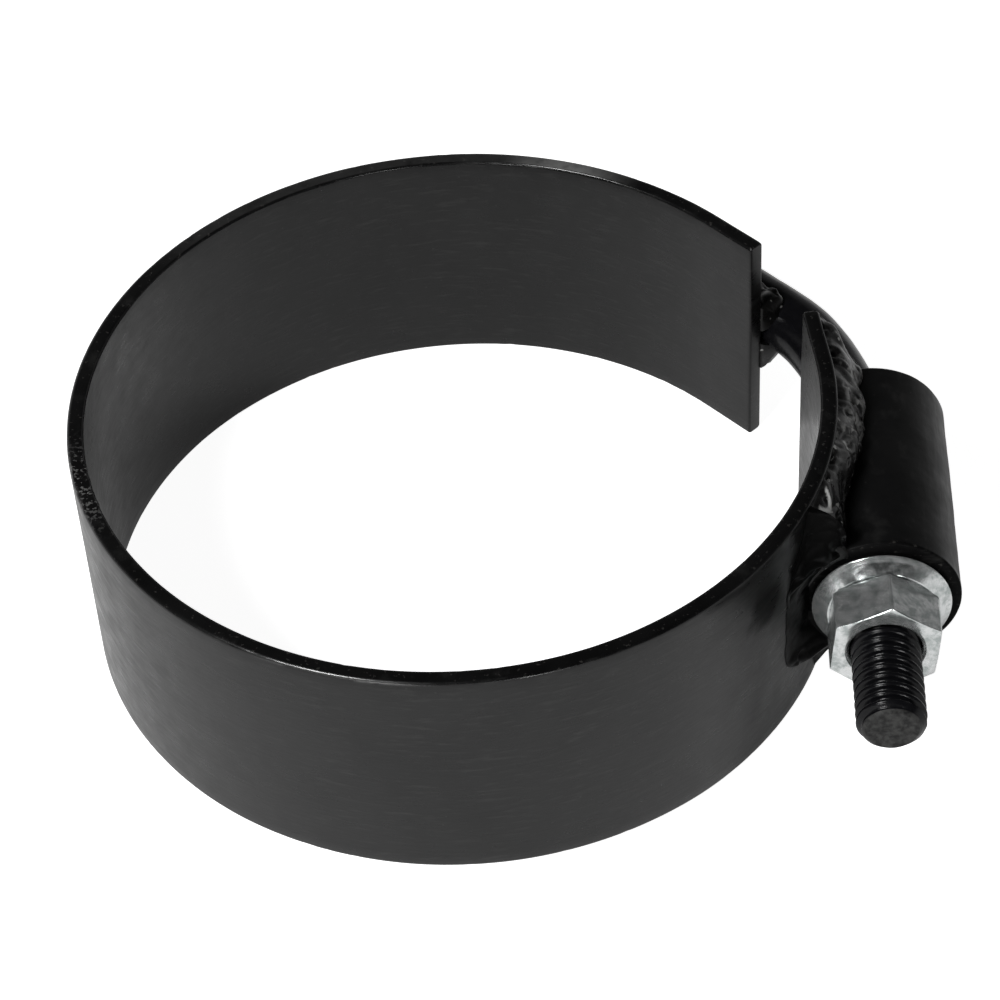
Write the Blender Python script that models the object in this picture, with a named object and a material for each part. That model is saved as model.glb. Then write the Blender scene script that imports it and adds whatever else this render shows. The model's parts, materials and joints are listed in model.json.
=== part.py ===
"""Heavy welded band clamp: a flat-bar ring drawn shut by a bent stud through a barrel."""
import math

import bmesh
import bpy
from mathutils import Vector

MM = 0.001
GAP = 0.35 * MM                 # clearance that every pair of neighbouring solids keeps

# Band: flat bar rolled to a four-inch bore, with straight ends
BORE_R = 50.8 * MM
BAND_THICKNESS = 2.4 * MM
BAND_WIDTH = 36.8 * MM
STRAIGHT_END = 9.0 * MM
NEAR_CUT = math.radians(17.9)   # the band's two cut ends, as angles round the ring
FAR_CUT = math.radians(35.1)
SPLIT_GAP = 0.30 * MM           # between the two halves, at the flexure
BAND_STEP = math.radians(3.0)

# Barrel: notched tube standing on the band's outside, parallel to Y
BARREL_R = 11.0 * MM
BARREL_BORE_R = 6.35 * MM
BARREL_X = 58.45 * MM           # its axis, from the ring's axis
BARREL_FAR_Y = 12.4 * MM
BARREL_NEAR_Y = -22.5 * MM
BARREL_BEVEL = 0.8 * MM

# Stud: three-eighths rod, straight through the barrel, bent to lie along the far end
STUD_R = 4.745 * MM
STUD_TIP_Y = -46.2 * MM
STUD_CHAMFER = 0.8 * MM
STUD_BEND_R = 40.0 * MM
STUD_END = math.radians(56.5)
STUD_SIDES = 24
STUD_STEP = math.radians(5.0)

# Nut and its dished washer, seated just short of the barrel's near face
SEAT_GAP = 0.8 * MM
WASHER_R = 9.525 * MM
WASHER_SEAT_R = 7.6 * MM
WASHER_BORE_R = 5.3 * MM
WASHER_RIM = 1.0 * MM
WASHER_HEIGHT = 1.8 * MM
WASHER_DISH = 0.35 * MM
NUT_FLATS = 14.29 * MM
NUT_HEIGHT = 6.8 * MM
NUT_BORE_R = 5.1 * MM
NUT_COUNTERSINK_R = 5.35 * MM
NUT_CHAMFER = math.radians(16.0)
NUT_CORNER = math.radians(85.5)  # direction of the hexagon's upper corner, from +X towards +Z
ROUND_SIDES = 48

# Weld beads
BARREL_BEAD_FAR_Y = 12.0 * MM
BARREL_BEAD_NEAR_Y = -21.0 * MM
BARREL_BEAD_TOE = math.radians(9.0)     # where it ends on the barrel, from the barrel's crown
BARREL_BEAD_HEIGHT = 4.6 * MM           # above the crown, up the band's wall
STUD_BEAD_ROOT = math.radians(36.0)     # from the line between stud and band, round the stud
STUD_BEAD_TOE = math.radians(78.0)
STUD_BEAD_HEIGHT = 1.6 * MM
STUD_BEAD_END = math.radians(54.0)
STUD_BEAD_START = 1.0 * MM              # from the band's cut end
BEAD_BULGE = 0.7 * MM
BEAD_POINTS = 5

# Derived places
OUTER_R = BORE_R + BAND_THICKNESS
MID_R = BORE_R + BAND_THICKNESS / 2
MID_Z = BAND_WIDTH / 2
RING_X = -(BARREL_X + BARREL_R - OUTER_R) / 2
END_TURN = math.atan2(STRAIGHT_END, MID_R)
BARREL_MID_Y = (BARREL_FAR_Y + BARREL_NEAR_Y) / 2
SPLIT_ANGLE = math.pi - math.asin(BARREL_MID_Y / MID_R)
SEAT_Y = BARREL_NEAR_Y - SEAT_GAP

BLACK_PAINT = (0.018, 0.018, 0.019, 1.0)
WELD_PAINT = (0.022, 0.022, 0.022, 1.0)
STUD_BLACK = (0.030, 0.030, 0.031, 1.0)
ZINC = (0.62, 0.65, 0.66, 1.0)


def clear_scene():
    for item in list(bpy.data.objects):
        bpy.data.objects.remove(item, do_unlink=True)


def add_material(item, colour, roughness, metallic):
    material = bpy.data.materials.new(item.name)
    material.use_nodes = True
    shader = material.node_tree.nodes["Principled BSDF"]
    shader.inputs["Base Color"].default_value = colour
    shader.inputs["Roughness"].default_value = roughness
    shader.inputs["Metallic"].default_value = metallic
    item.data.materials.append(material)


def mesh_object(name, bm, smooth=math.radians(30.0)):
    """Turn a bmesh into a linked object whose flat faces keep crisp edges."""
    bmesh.ops.recalc_face_normals(bm, faces=bm.faces)
    mesh = bpy.data.meshes.new(name)
    bm.to_mesh(mesh)
    bm.free()
    mesh.shade_smooth()
    mesh.set_sharp_from_angle(angle=smooth)
    item = bpy.data.objects.new(name, mesh)
    bpy.context.collection.objects.link(item)
    return item


def loft(name, sections):
    """Skin a closed solid over a row of outlines with equal point counts, capped at both ends."""
    bm = bmesh.new()
    rings = [[bm.verts.new(point) for point in section] for section in sections]
    for ring, following in zip(rings, rings[1:]):
        for i in range(len(ring)):
            j = (i + 1) % len(ring)
            bm.faces.new((ring[i], ring[j], following[j], following[i]))
    bm.faces.new(list(reversed(rings[0])))
    bm.faces.new(rings[-1])
    return mesh_object(name, bm)


def on_ring(radius, angle, z):
    return Vector((RING_X + radius * math.cos(angle), radius * math.sin(angle), z))


def full_turn(sides):
    return [2 * math.pi * i / sides for i in range(sides)]


def spread(start, end, step):
    """Evenly spaced values from start to end, no further apart than step."""
    count = max(1, math.ceil(abs(end - start) / step - 1e-6))
    return [start + (end - start) * i / count for i in range(count + 1)]


def hide_cutter(item):
    item.hide_render = True
    item.display_type = "WIRE"


def cut(item, cutter, operation="DIFFERENCE"):
    modifier = item.modifiers.new(cutter.name, "BOOLEAN")
    modifier.object = cutter
    modifier.operation = operation
    modifier.solver = "EXACT"


# ---------------------------------------------------------------- band

def band_stations(start, end, straight_at):
    """Points and outward directions along the bar's middle line: an arc with one straight end."""
    stations = []
    for angle in spread(start, end, BAND_STEP):
        outward = Vector((math.cos(angle), math.sin(angle), 0))
        stations.append((on_ring(MID_R, angle, 0), outward))
    corner, outward = stations[0] if straight_at == "start" else stations[-1]
    along = Vector((outward.y, -outward.x, 0)) * STRAIGHT_END
    if straight_at == "start":
        return [(corner + along, outward)] + stations
    return stations + [(corner - along, outward)]


def band_solid(name, stations, inside, outside, z_low, z_high):
    sections = []
    for point, outward in stations:
        inner = point + outward * inside
        outer = point + outward * outside
        corners = [(inner, z_low), (outer, z_low), (outer, z_high), (inner, z_high)]
        sections.append([Vector((p.x, p.y, z)) for p, z in corners])
    return loft(name, sections)


def near_stations():
    half_gap = SPLIT_GAP / 2 / MID_R
    return band_stations(SPLIT_ANGLE + half_gap, 2 * math.pi + NEAR_CUT - END_TURN, "end")


def far_stations():
    half_gap = SPLIT_GAP / 2 / MID_R
    return band_stations(FAR_CUT + END_TURN, SPLIT_ANGLE - half_gap, "start")


def make_band():
    half = BAND_THICKNESS / 2
    for name, stations in (("band_near_half", near_stations()), ("band_far_half", far_stations())):
        piece = band_solid(name, stations, -half, half, 0, BAND_WIDTH)
        add_material(piece, BLACK_PAINT, 0.38, 0.0)


# ---------------------------------------------------------------- barrel

def about_stud(radius, angle, y):
    return Vector((RING_X + BARREL_X + radius * math.cos(angle), y, MID_Z + radius * math.sin(angle)))


def turned(name, profile, sides, first_corner=0.0):
    """A closed solid of regular polygons about the stud's axis, from (radius, y) pairs."""
    sections = []
    for radius, y in profile:
        sections.append([about_stud(radius, first_corner + angle, y) for angle in full_turn(sides)])
    return loft(name, sections)


def make_barrel():
    bevel = BARREL_BEVEL
    profile = [
        (BARREL_R - bevel, BARREL_FAR_Y),
        (BARREL_R - bevel * 0.3, BARREL_FAR_Y - bevel * 0.3),
        (BARREL_R, BARREL_FAR_Y - bevel),
        (BARREL_R, BARREL_NEAR_Y + bevel),
        (BARREL_R - bevel * 0.3, BARREL_NEAR_Y + bevel * 0.3),
        (BARREL_R - bevel, BARREL_NEAR_Y),
    ]
    barrel = turned("barrel", profile, ROUND_SIDES)
    past_ends = 5 * MM
    bore_profile = [(BARREL_BORE_R, BARREL_FAR_Y + past_ends), (BARREL_BORE_R, BARREL_NEAR_Y - past_ends)]
    bore = turned("barrel_bore_cutter", bore_profile, ROUND_SIDES)
    outside = BAND_THICKNESS / 2 + GAP
    notch = band_solid("barrel_notch_cutter", near_stations(), -BARREL_R, outside, -GAP, BAND_WIDTH + GAP)
    for cutter in (bore, notch):
        hide_cutter(cutter)
        cut(barrel, cutter)
    add_material(barrel, BLACK_PAINT, 0.32, 0.0)


def wall_x(y):
    """The outer face of the band's near end at a given y, past the clearance."""
    straight_from = NEAR_CUT - END_TURN
    foot = on_ring(OUTER_R + GAP, straight_from, 0)
    if y <= foot.y:
        return RING_X + math.sqrt((OUTER_R + GAP) ** 2 - y * y)
    return foot.x - (y - foot.y) * math.tan(straight_from)


def bulged(start, end, bulge):
    """Points of a shallow convex arc between two plan points, both ends left out."""
    across = Vector((end[1] - start[1], start[0] - end[0])).normalized()
    points = []
    for i in range(1, BEAD_POINTS):
        t = i / BEAD_POINTS
        lift = 4 * t * (1 - t) * bulge
        points.append((start[0] + (end[0] - start[0]) * t + across.x * lift,
                       start[1] + (end[1] - start[1]) * t + across.y * lift))
    return points


def barrel_bead_section(y, side):
    """Outline in X and Z of the fillet between the barrel's shoulder and the band's wall."""
    axis_x = RING_X + BARREL_X
    shell = BARREL_R + GAP
    at_wall = math.asin((axis_x - wall_x(y)) / shell)
    under = []
    for i in range(BEAD_POINTS + 1):
        turn = at_wall + (BARREL_BEAD_TOE - at_wall) * i / BEAD_POINTS
        under.append((axis_x - shell * math.sin(turn), shell * math.cos(turn)))
    wall_top = (wall_x(y), BARREL_R + BARREL_BEAD_HEIGHT)
    outline = under + bulged(under[-1], wall_top, BEAD_BULGE) + [wall_top]
    return [Vector((x, y, MID_Z + side * rise)) for x, rise in outline]


def make_barrel_beads():
    for name, side in (("barrel_weld_top", 1), ("barrel_weld_bottom", -1)):
        places = spread(BARREL_BEAD_NEAR_Y, BARREL_BEAD_FAR_Y, 3 * MM)
        bead = loft(name, [barrel_bead_section(y, side) for y in places])
        add_material(bead, WELD_PAINT, 0.45, 0.0)


# ---------------------------------------------------------------- stud

def stud_route():
    """Points and directions along the stud's axis, from its threaded tip to its welded end."""
    far_point, outward = far_stations()[0]
    away = OUTER_R - MID_R + GAP + STUD_R
    weld_line = far_point + outward * away
    along = Vector((-outward.y, outward.x, 0))
    turn = math.atan2(-along.x, along.y)
    axis_x = RING_X + BARREL_X
    corner_y = weld_line.y + (weld_line.x - axis_x) / math.tan(turn)
    tangent = STUD_BEND_R * math.tan(turn / 2)
    bend_y = corner_y - tangent
    forward = Vector((0, 1, 0))
    route = [(Vector((axis_x, STUD_TIP_Y, 0)), forward)]
    route.append((Vector((axis_x, STUD_TIP_Y + STUD_CHAMFER, 0)), forward))
    for angle in spread(0, turn, STUD_STEP):
        x = axis_x - STUD_BEND_R * (1 - math.cos(angle))
        y = bend_y + STUD_BEND_R * math.sin(angle)
        route.append((Vector((x, y, 0)), Vector((-math.sin(angle), math.cos(angle), 0))))
    for angle in spread(FAR_CUT + END_TURN, STUD_END, STUD_STEP):
        point = on_ring(OUTER_R + GAP + STUD_R, angle, 0)
        route.append((point, Vector((-math.sin(angle), math.cos(angle), 0))))
    return route


def make_stud():
    sections = []
    for place, (point, forward) in enumerate(stud_route()):
        radius = STUD_R - (STUD_CHAMFER if place == 0 else 0)
        across = Vector((forward.y, -forward.x, 0))
        ring = []
        for angle in full_turn(STUD_SIDES):
            rise = Vector((0, 0, MID_Z + radius * math.sin(angle)))
            ring.append(point + across * (radius * math.cos(angle)) + rise)
        sections.append(ring)
    add_material(loft("threaded_stud", sections), STUD_BLACK, 0.4, 0.3)


def stud_bead_section(place, outward, side):
    """Outline of the fillet between the stud and the band's wall, square to the band."""
    wall = BAND_THICKNESS / 2 + GAP
    centre = wall + STUD_R
    shell = STUD_R + GAP
    under = []
    for i in range(BEAD_POINTS + 1):
        turn = STUD_BEAD_ROOT + (STUD_BEAD_TOE - STUD_BEAD_ROOT) * i / BEAD_POINTS
        under.append((centre - shell * math.cos(turn), shell * math.sin(turn)))
    wall_low = (wall, under[0][1])
    wall_top = (wall, shell + STUD_BEAD_HEIGHT)
    outline = [wall_low] + under + bulged(under[-1], wall_top, BEAD_BULGE) + [wall_top]
    return [place + outward * distance + Vector((0, 0, MID_Z + side * rise)) for distance, rise in outline]


def stud_bead_stations():
    """The band's middle line from just inside its far cut end to the bead's end."""
    tip, outward = far_stations()[0]
    forward = Vector((-outward.y, outward.x, 0))
    stations = [(tip + forward * STUD_BEAD_START, outward)]
    for angle in spread(FAR_CUT + END_TURN, STUD_BEAD_END, STUD_STEP):
        stations.append((on_ring(MID_R, angle, 0), Vector((math.cos(angle), math.sin(angle), 0))))
    return stations


def make_stud_beads():
    for name, side in (("stud_weld_top", 1), ("stud_weld_bottom", -1)):
        sections = [stud_bead_section(place, outward, side) for place, outward in stud_bead_stations()]
        bead = loft(name, sections)
        add_material(bead, WELD_PAINT, 0.45, 0.0)


# ---------------------------------------------------------------- nut and washer

def make_washer():
    face = SEAT_Y
    body = [
        (WASHER_R, face),
        (WASHER_R, face - WASHER_RIM),
        (WASHER_SEAT_R, face - WASHER_HEIGHT),
    ]
    washer = turned("nut_washer", body, ROUND_SIDES)
    hole = [
        (WASHER_R - WASHER_RIM, face + WASHER_DISH),
        (WASHER_BORE_R, face - WASHER_DISH),
        (WASHER_BORE_R, face - WASHER_HEIGHT - 2 * MM),
    ]
    cutter = turned("washer_hole_cutter", hole, ROUND_SIDES)
    hide_cutter(cutter)
    cut(washer, cutter)
    add_material(washer, ZINC, 0.35, 1.0)


def make_nut():
    back = SEAT_Y - WASHER_HEIGHT - GAP
    front = back - NUT_HEIGHT
    corner_r = NUT_FLATS / 2 / math.cos(math.pi / 6)
    chamfer_rise = (corner_r - NUT_FLATS / 2) * math.tan(NUT_CHAMFER)
    nut = turned("hex_nut", [(corner_r, back), (corner_r, front)], 6, NUT_CORNER)
    rounding = [
        (NUT_FLATS / 2, back + GAP),
        (NUT_FLATS / 2, back),
        (corner_r * 1.02, back - chamfer_rise),
        (corner_r * 1.02, front + chamfer_rise),
        (NUT_FLATS / 2, front),
        (NUT_FLATS / 2, front - GAP),
    ]
    hole = [
        (NUT_COUNTERSINK_R, back + GAP),
        (NUT_BORE_R, back - GAP),
        (NUT_BORE_R, front + GAP),
        (NUT_COUNTERSINK_R, front - GAP),
    ]
    envelope = turned("nut_chamfer_cutter", rounding, ROUND_SIDES)
    thread_hole = turned("nut_hole_cutter", hole, ROUND_SIDES)
    for cutter, operation in ((envelope, "INTERSECT"), (thread_hole, "DIFFERENCE")):
        hide_cutter(cutter)
        cut(nut, cutter, operation)
    add_material(nut, ZINC, 0.35, 1.0)


def main():
    clear_scene()
    make_band()
    make_barrel()
    make_barrel_beads()
    make_stud()
    make_stud_beads()
    make_washer()
    make_nut()


main()
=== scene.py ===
import json
import math

import bmesh
import bpy
from mathutils import Matrix, Vector, noise


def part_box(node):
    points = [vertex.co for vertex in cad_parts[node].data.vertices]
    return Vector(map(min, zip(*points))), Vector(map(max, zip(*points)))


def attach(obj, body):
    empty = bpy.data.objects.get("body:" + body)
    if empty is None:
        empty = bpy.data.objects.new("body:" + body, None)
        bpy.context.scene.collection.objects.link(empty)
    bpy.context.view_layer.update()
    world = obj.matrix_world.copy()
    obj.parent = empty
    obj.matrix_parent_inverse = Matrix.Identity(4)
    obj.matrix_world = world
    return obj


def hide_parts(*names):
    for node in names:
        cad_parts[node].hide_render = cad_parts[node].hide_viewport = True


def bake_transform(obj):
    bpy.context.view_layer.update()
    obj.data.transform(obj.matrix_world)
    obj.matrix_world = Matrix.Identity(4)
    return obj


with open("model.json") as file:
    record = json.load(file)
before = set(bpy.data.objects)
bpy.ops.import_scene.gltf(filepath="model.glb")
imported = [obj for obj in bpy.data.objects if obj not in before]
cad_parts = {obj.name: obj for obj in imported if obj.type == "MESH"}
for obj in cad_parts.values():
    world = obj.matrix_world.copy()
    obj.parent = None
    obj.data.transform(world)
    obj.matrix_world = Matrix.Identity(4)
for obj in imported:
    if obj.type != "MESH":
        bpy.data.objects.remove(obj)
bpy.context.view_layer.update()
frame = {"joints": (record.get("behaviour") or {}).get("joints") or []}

MM = 0.001

# ------------ places, read from the frame

far_low, far_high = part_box("band_far_half")
barrel_low, barrel_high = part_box("barrel")
stud_low, stud_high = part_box("threaded_stud")
washer_low, washer_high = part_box("nut_washer")
nut_low, nut_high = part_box("hex_nut")
hinge = next(Vector(j["pos_m"]) for j in frame["joints"] if j["name"] == "band_close")

OUTER_R = far_high.y
RING_X = far_low.x + OUTER_R
BAND_WIDTH = far_high.z
MID_Z = BAND_WIDTH / 2
MID_R = (hinge.xy - Vector((RING_X, 0))).length
HALF_THICKNESS = OUTER_R - MID_R
BARREL_R = (barrel_high.z - barrel_low.z) / 2
AXIS_X = barrel_high.x - BARREL_R
STUD_R = (stud_high.z - stud_low.z) / 2
STUD_TIP_Y = stud_low.y
WASHER_R = (washer_high.z - washer_low.z) / 2
NUT_BACK_Y = nut_high.y
NUT_FRONT_Y = nut_low.y

# Driving dimensions that the frame doesn't state outright
STRAIGHT_END = 9.0 * MM         # the flat length at each end of the band
NEAR_CUT = math.radians(17.9)   # the band's two cut ends, as angles round the ring
FAR_CUT = math.radians(35.1)
GAP = 0.35 * MM                 # clearance between neighbouring solids in the CAD
BARREL_BORE_R = 6.35 * MM
STUD_BEND_R = 40.0 * MM
STUD_END = math.radians(56.5)
NUT_FLATS = 14.29 * MM
NUT_CORNER = math.radians(85.5)  # the hexagon's upper corner, from +X towards +Z
END_TURN = math.atan2(STRAIGHT_END, MID_R)
SHARP = math.radians(40.0)      # edges that turn more than this stay crisp

# ------------ camera

CAMERA_TARGET = Vector((-2.15, -1.97, 18.4)) * MM
CAMERA_DISTANCE = 474.8 * MM
CAMERA_AZIMUTH = math.radians(3.73)
CAMERA_ELEVATION = math.radians(44.91)
CAMERA_ROLL = math.radians(-3.70)
CAMERA_LENS = 120.9


def add_object(name, data):
    thing = bpy.data.objects.new(name, data)
    bpy.context.scene.collection.objects.link(thing)
    return thing


def make_camera():
    level = math.cos(CAMERA_ELEVATION)
    back = Vector((math.sin(CAMERA_AZIMUTH) * level, -math.cos(CAMERA_AZIMUTH) * level,
                   math.sin(CAMERA_ELEVATION)))
    data = bpy.data.cameras.new("camera")
    data.lens = CAMERA_LENS
    data.clip_start = 0.01
    data.clip_end = 50
    camera = add_object("camera", data)
    turn = (-back).to_track_quat("-Z", "Y").to_matrix() @ Matrix.Rotation(CAMERA_ROLL, 3, "Z")
    camera.matrix_world = Matrix.Translation(CAMERA_TARGET + back * CAMERA_DISTANCE) @ turn.to_4x4()
    bpy.context.scene.camera = camera


# ------------ mesh helpers

def smooth_step(t):
    t = max(0.0, min(1.0, t))
    return t * t * (3 - 2 * t)


def plateau(value, middle, half_width, fade):
    """1 within half_width of the middle, falling to 0 over the fade beyond it."""
    return 1 - smooth_step((abs(value - middle) - half_width) / fade)


def spread(start, end, step):
    """Evenly spaced values from start to end, no further apart than step."""
    count = max(1, math.ceil(abs(end - start) / step - 1e-6))
    return [start + (end - start) * i / count for i in range(count + 1)]


def on_ring(radius, angle, z=0.0):
    return Vector((RING_X + radius * math.cos(angle), radius * math.sin(angle), z))


def quarter_turn(direction):
    """A level direction, turned anticlockwise as seen from above."""
    return Vector((-direction.y, direction.x, 0))


def mesh_piece(name, points, faces, sharp=SHARP):
    mesh = bpy.data.meshes.new(name)
    mesh.from_pydata(points, [], faces)
    mesh.validate()
    bm = bmesh.new()
    bm.from_mesh(mesh)
    bmesh.ops.recalc_face_normals(bm, faces=bm.faces)
    bm.to_mesh(mesh)
    bm.free()
    mesh.shade_smooth()
    mesh.set_sharp_from_angle(angle=sharp)
    return add_object(name, mesh)


def skin(name, rings, closed=False, sharp=SHARP):
    """A solid skinned over rings of equal point counts: capped at both ends, or closed on itself."""
    count = len(rings[0])
    points = [point for ring in rings for point in ring]
    faces = []
    for i in range(len(rings) if closed else len(rings) - 1):
        this = i * count
        following = (i + 1) % len(rings) * count
        for j in range(count):
            k = (j + 1) % count
            faces.append((this + j, this + k, following + k, following + j))
    if not closed:
        faces += [tuple(range(count)), tuple(range(len(points) - count, len(points)))]
    return mesh_piece(name, points, faces, sharp)


def softened(outline, radius, steps):
    """A closed 2D outline with each corner replaced by a short curve that starts radius away from it."""
    result = []
    for i, corner in enumerate(outline):
        here = Vector(corner)
        before = Vector(outline[i - 1]) - here
        after = Vector(outline[(i + 1) % len(outline)]) - here
        reach = min(radius, before.length * 0.45, after.length * 0.45)
        start = here + before.normalized() * reach
        end = here + after.normalized() * reach
        for k in range(steps + 1):
            t = k / steps
            result.append(start * (1 - t) ** 2 + here * (2 * t * (1 - t)) + end * t ** 2)
    return result


def about_stud(radius, angle, y):
    return Vector((AXIS_X + radius * math.cos(angle), y, MID_Z + radius * math.sin(angle)))


def turned_ring(name, outline, sides, reach=None):
    """A ring about the stud's axis from a closed (radius, y) outline. reach may move a point of it by the angle."""
    rings = []
    for i in range(sides):
        angle = 2 * math.pi * i / sides
        ring = []
        for radius, y in outline:
            if reach:
                radius, y = reach(radius, y, angle)
            ring.append(about_stud(radius, angle, y))
        rings.append(ring)
    return skin(name, rings, closed=True)


def store(piece, name, value_at):
    """A named value at each vertex, worked out from the vertex's place."""
    attribute = piece.data.attributes.new(name, "FLOAT", "POINT")
    attribute.data.foreach_set("value", [value_at(v.co) for v in piece.data.vertices])


def rough(place, size, octaves=3):
    """Fractal noise from about -1 to 1 with features of the given size."""
    return noise.fractal(place / size, 1.0, 2.0, octaves, noise_basis="PERLIN_ORIGINAL")


# ------------ material helpers

def map_range(tree, value, low, high, to_low, to_high):
    """A node that carries the value from one range to another, held at its ends."""
    node = tree.nodes.new("ShaderNodeMapRange")
    node.inputs["From Min"].default_value = low
    node.inputs["From Max"].default_value = high
    node.inputs["To Min"].default_value = to_low
    node.inputs["To Max"].default_value = to_high
    tree.links.new(value, node.inputs["Value"])
    return node.outputs["Result"]


def rgba_sockets(sockets):
    return [socket for socket in sockets if socket.type == "RGBA"]


class Graph:
    """A material's node tree, with short calls for the nodes that the finishes share."""

    def __init__(self, name):
        self.material = bpy.data.materials.new(name)
        self.material.use_nodes = True
        self.tree = self.material.node_tree
        self.nodes, self.links = self.tree.nodes, self.tree.links
        self.shader = self.nodes["Principled BSDF"]
        self.place = self.nodes.new("ShaderNodeTexCoord").outputs["Object"]

    def set(self, **values):
        for key, value in values.items():
            self.shader.inputs[key.replace("_", " ")].default_value = value

    def link(self, output, name):
        self.links.new(output, self.shader.inputs[name])

    def stretched(self, scale):
        mapping = self.nodes.new("ShaderNodeMapping")
        mapping.inputs["Scale"].default_value = scale
        self.links.new(self.place, mapping.inputs["Vector"])
        return mapping.outputs["Vector"]

    def noise(self, size, detail=3.0, roughness=0.55, place=None):
        node = self.nodes.new("ShaderNodeTexNoise")
        node.inputs["Scale"].default_value = 1 / size
        node.inputs["Detail"].default_value = detail
        node.inputs["Roughness"].default_value = roughness
        self.links.new(place or self.place, node.inputs["Vector"])
        return node.outputs["Fac"]

    def specks(self, size):
        node = self.nodes.new("ShaderNodeTexVoronoi")
        node.inputs["Scale"].default_value = 1 / size
        self.links.new(self.place, node.inputs["Vector"])
        return node.outputs["Distance"]

    def spread(self, value, low, high, to_low, to_high):
        return map_range(self.tree, value, low, high, to_low, to_high)

    def math(self, operation, a, b):
        node = self.nodes.new("ShaderNodeMath")
        node.operation = operation
        for socket, value in zip(node.inputs, (a, b)):
            if isinstance(value, (int, float)):
                socket.default_value = value
            else:
                self.links.new(value, socket)
        return node.outputs["Value"]

    def mix(self, factor, a, b):
        node = self.nodes.new("ShaderNodeMix")
        node.data_type = "RGBA"
        self.links.new(factor, node.inputs["Factor"])
        for socket, value in zip(rgba_sockets(node.inputs), (a, b)):
            if isinstance(value, tuple):
                socket.default_value = (*value, 1.0)
            else:
                self.links.new(value, socket)
        return rgba_sockets(node.outputs)[0]

    def attribute(self, name):
        node = self.nodes.new("ShaderNodeAttribute")
        node.attribute_name = name
        return node.outputs["Fac"]

    def bump(self, layers):
        """Bumps laid over each other, as (height, strength, depth in metres)."""
        normal = None
        for height, strength, depth in layers:
            node = self.nodes.new("ShaderNodeBump")
            node.inputs["Strength"].default_value = strength
            node.inputs["Distance"].default_value = depth
            self.links.new(height, node.inputs["Height"])
            if normal:
                self.links.new(normal, node.inputs["Normal"])
            normal = node.outputs["Normal"]
        self.link(normal, "Normal")


# ------------ finishes

def black_paint(name, ior, dullness):
    """Satin black paint over rolled bar: faint patches, fine streaks along the bar and small dull specks.

    "wear" polishes and chips it, an upper-rim value lays a painted highlight and a painted sheen there as lighter
    grey,
    "pitted" scatters grey pits, and a dimming value takes its reflections away: painted shade beside the barrel and
    on the barrel's near face, and a fainter dimming inside the band's near end."""
    graph = Graph(name)
    patches = graph.spread(graph.noise(9 * MM, 4.0), 0.35, 0.65, 0, 1)
    colour = graph.mix(patches, (0.0030, 0.0030, 0.0031), (0.0055, 0.0055, 0.0056))
    dust = graph.math("MULTIPLY", graph.spread(graph.specks(2.6 * MM), 0.03, 0.08, 1, 0), 0.4)
    colour = graph.mix(dust, colour, (0.030, 0.030, 0.029))
    chips = graph.spread(graph.noise(0.8 * MM), 0.62, 0.68, 0, 0.5)
    colour = graph.mix(graph.math("MULTIPLY", graph.attribute("wear"), chips), colour, (0.05, 0.048, 0.045))
    # Painted highlight and painted sheen on the upper rim, laid on as lighter grey
    highlit = graph.spread(graph.noise(1.5 * MM, 3.0), 0.35, 0.65, 0.75, 1)
    colour = graph.mix(graph.math("MULTIPLY", graph.attribute("rim_highlight"), highlit), colour, (0.17, 0.17, 0.168))
    pits = graph.spread(graph.noise(0.6 * MM, 2.0), 0.54, 0.60, 0, 1)
    colour = graph.mix(graph.math("MULTIPLY", graph.attribute("pitted"), pits), colour, (0.12, 0.12, 0.118))
    streaks = graph.noise(1.0 * MM, 3.0, place=graph.stretched((0.25, 0.25, 1.6)))
    colour = graph.mix(graph.spread(streaks, 0.55, 0.75, 0, 1), colour, (0.014, 0.014, 0.0137))
    graph.link(colour, "Base Color")
    # Painted shade: reflections taken away beside the barrel and on the barrel's near face, with a fainter dimming
    # inside the band's near end
    graph.link(graph.spread(graph.attribute("reflection_dimming"), 0, 1, 0.5, 0.04), "Specular IOR Level")
    graph.set(IOR=ior)
    cloudy = graph.spread(graph.noise(4 * MM, 4.0), 0.3, 0.7, dullness - 0.05, dullness + 0.05)
    shine = graph.math("ADD", cloudy, graph.spread(streaks, 0.3, 0.7, -0.05, 0.05))
    shine = graph.math("SUBTRACT", shine, graph.math("MULTIPLY", graph.attribute("wear"), 0.14))
    graph.link(shine, "Roughness")
    graph.bump([(graph.noise(3.0 * MM, 2.0), 0.30, 0.05 * MM), (streaks, 0.4, 0.04 * MM),
                (graph.noise(0.35 * MM, 2.0), 0.30, 0.02 * MM)])
    return graph.material


def painted_weld():
    """Glossy black over a bead with painted glints as light flecks: grey scale and a painted highlight where the
    flank value is high, and clean grey painted highlights where the glint value is.
    """
    graph = Graph("painted_weld")
    patches = graph.noise(2.5 * MM, 4.0)
    colour = graph.mix(patches, (0.002, 0.002, 0.002), (0.006, 0.0058, 0.0056))
    # Grey scale on the flank that meets the barrel, laid on light as a painted highlight of that flank
    scale = graph.spread(graph.noise(1.6 * MM, 2.0), 0.48, 0.60, 0, 1)
    colour = graph.mix(graph.math("MULTIPLY", graph.attribute("scale_and_highlight"), scale), colour, (0.19, 0.19, 0.185))
    # Painted glints: light flecks that stand for highlights on the bead's pits
    painted_glints = graph.spread(graph.noise(1.4 * MM, 1.0), 0.68, 0.72, 0, 0.8)
    colour = graph.mix(painted_glints, colour, (0.35, 0.35, 0.34))
    # Painted highlights: the lit rim of a crater and a glinting spot, laid on as clean grey
    colour = graph.mix(graph.attribute("painted_glint"), colour, (0.55, 0.55, 0.54))
    graph.link(colour, "Base Color")
    graph.set(IOR=1.32)
    graph.link(graph.spread(graph.noise(1.2 * MM, 4.0), 0.3, 0.7, 0.22, 0.42), "Roughness")
    graph.bump([(graph.noise(0.9 * MM, 3.0), 0.25, 0.06 * MM)])
    return graph.material


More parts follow.
